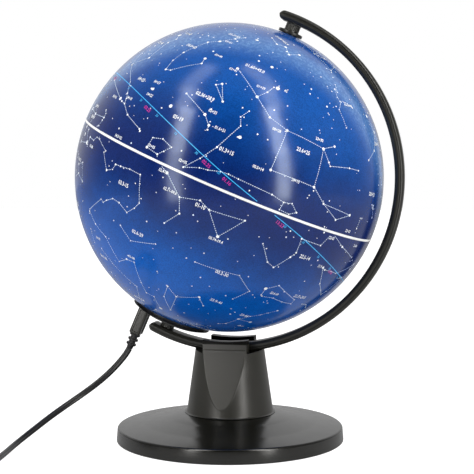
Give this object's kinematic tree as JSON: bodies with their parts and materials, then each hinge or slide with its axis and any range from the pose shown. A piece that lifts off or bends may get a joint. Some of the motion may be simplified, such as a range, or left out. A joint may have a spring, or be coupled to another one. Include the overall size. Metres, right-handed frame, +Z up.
{
  "type": "celestial globe",
  "caption": "Lit desk celestial globe that turns on a tilted half-meridian arm over a round weighted base, fed by a plug-in USB lead.",
  "frame": {"origin": "centre of the round base, on the plane where its pad meets the table", "axes": "+Z up; the half-meridian arm lies in the XZ plane and the polar axis leans from +Z towards +X; -Y faces the viewer"},
  "size_m": [0.2964, 0.2244, 0.2784],
  "materials": {
    "base_plastic": "satin black moulding",
    "base_weight": "plain cast weight",
    "cover_plastic": "matt black",
    "base_pad": "soft foam rubber",
    "screw_steel": "zinc plated",
    "neck_plastic": "satin black moulding",
    "arm_screw_steel": "zinc plated",
    "arm_plastic": "satin black moulding",
    "pin_steel": "bright steel",
    "cap_plastic": "satin black moulding",
    "socket_metal": "nickel plated",
    "board_green": "solder mask",
    "lamp_white": "matt white",
    "led_chip": "yellow phosphor",
    "diffuser_frosted": "frosted white",
    "lamp_wire": "insulated wire",
    "lead_rubber": "satin black moulded-on",
    "plug_metal": "nickel plated",
    "cable_rubber": "satin black sheath",
    "tie_plastic": "satin black strap",
    "usb_a_metal": "nickel plated",
    "usb_a_insert": "white moulding",
    "sky_shell": "semi-gloss deep blue sky print",
    "equator_white": "semi-gloss white",
    "bush_plastic": "satin black moulding"
  },
  "bodies": {
    "stand": {"base_shell": "base_plastic", "base_weight": "base_weight", "bottom_cover": "cover_plastic", "base_pad": "base_pad", "cover_screw_1": "screw_steel", "cover_screw_2": "screw_steel", "cover_screw_3": "screw_steel", "neck": "neck_plastic", "neck_screw_1": "screw_steel", "neck_screw_2": "screw_steel", "neck_screw_3": "screw_steel", "arm_screw": "arm_screw_steel", "arm_washer": "arm_screw_steel", "meridian_arm": "arm_plastic", "axle_pin": "pin_steel", "top_post": "arm_plastic", "pin_retaining_ring": "pin_steel", "bottom_post": "arm_plastic", "lamp_cap_screw": "pin_steel", "lamp_cap": "cap_plastic", "power_socket": "socket_metal", "socket_board": "board_green", "lamp_stem": "lamp_white", "led_board": "lamp_white", "led_1": "led_chip", "led_2": "led_chip", "led_3": "led_chip", "led_4": "led_chip", "diffuser_dome": "diffuser_frosted", "lamp_wire_1": "lamp_wire", "lamp_wire_2": "lamp_wire", "plug_body": "lead_rubber", "plug_tongue": "plug_metal", "strain_relief": "lead_rubber", "cable": "cable_rubber", "cable_coil": "cable_rubber", "coil_tie": "tie_plastic", "cable_tail": "cable_rubber", "usb_a_overmould": "cable_rubber", "usb_a_shell": "usb_a_metal", "usb_a_insert": "usb_a_insert"},
    "globe": {"north_hemisphere": "sky_shell", "south_hemisphere": "sky_shell", "equator_ring": "equator_white", "north_bush": "bush_plastic", "north_bush_nut": "bush_plastic", "south_collar": "bush_plastic"}
  },
  "joints": [
    {"name": "globe_spin", "type": "hinge", "parent": "stand", "child": "globe", "pos_m": [0, 0, 0.1714], "axis": [0.3979, 0, 0.9174], "continuous": true}
  ]
}
